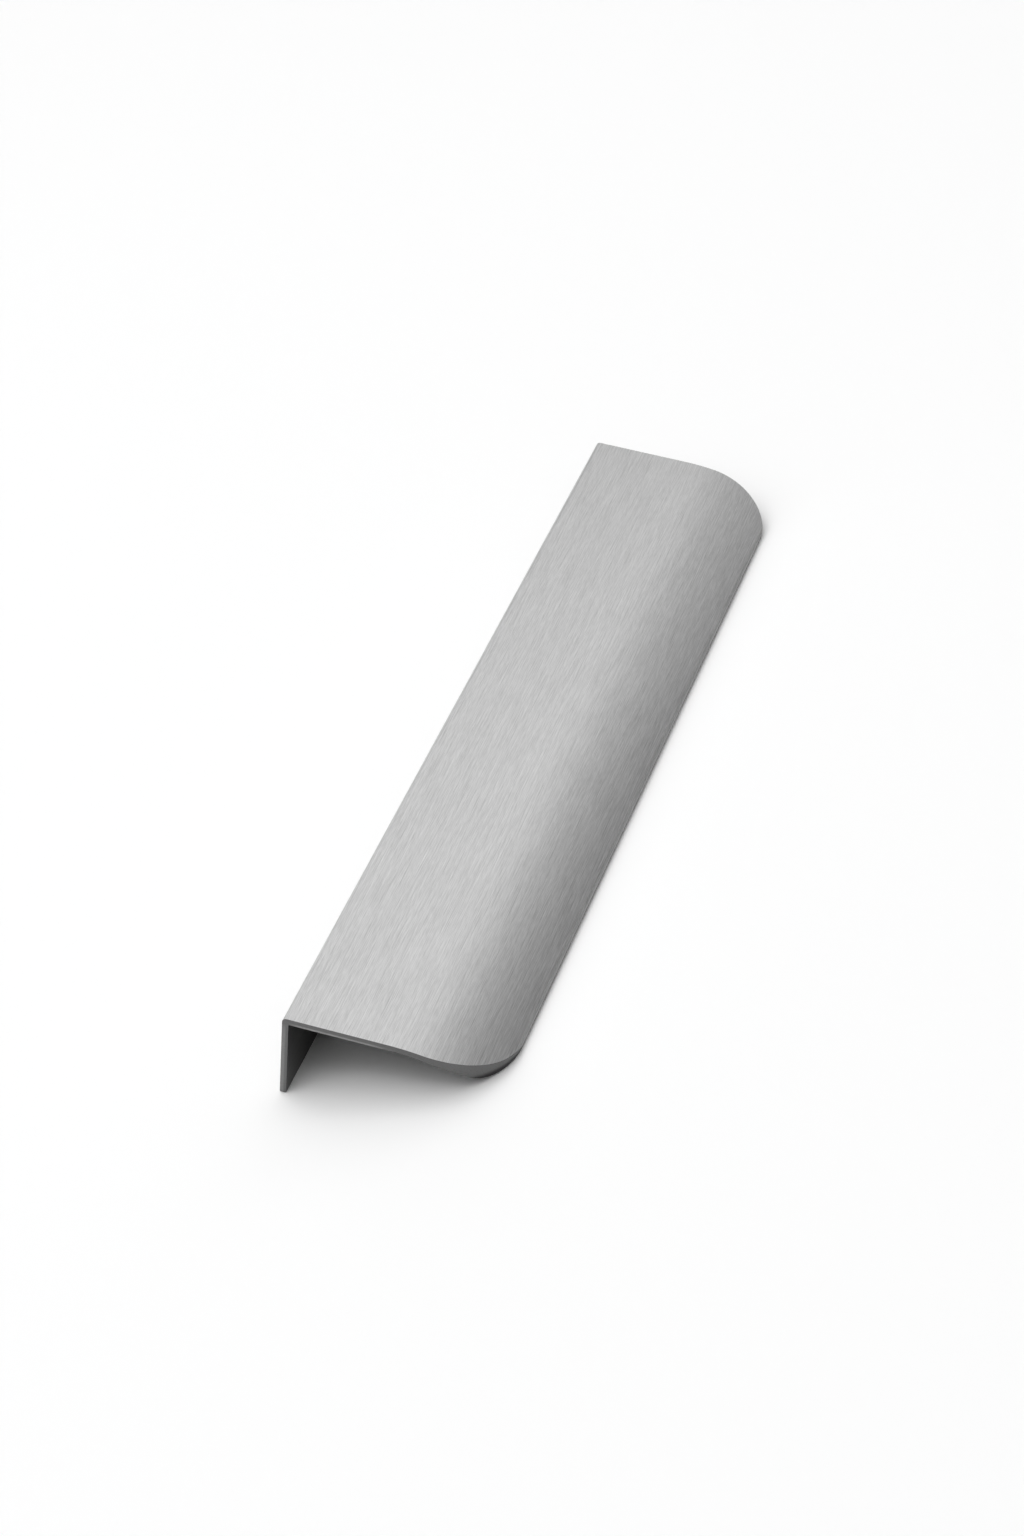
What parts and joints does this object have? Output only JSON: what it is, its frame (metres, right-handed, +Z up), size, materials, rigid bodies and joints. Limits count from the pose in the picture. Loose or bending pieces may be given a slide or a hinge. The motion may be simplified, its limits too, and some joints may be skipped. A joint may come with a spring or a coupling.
{
  "type": "edge pull",
  "caption": "Edge pull: a flat plate with a curved, thickened finger lip and a screw flange turned down behind.",
  "frame": {"origin": "on the floor, under the middle of the pull as it rests unheld on its flange's foot and the underside of its lip", "axes": "+Y along the length; +X across, from the flange towards the lip; +Z up; the plate slopes down towards +X by about 16 degrees"},
  "size_m": [0.043, 0.2, 0.0172],
  "materials": {
    "brushed_metal": "fine brushed along the length, satin anodised, cut ends plain"
  },
  "bodies": {
    "root": {"edge_pull": "brushed_metal"}
  },
  "joints": []
}
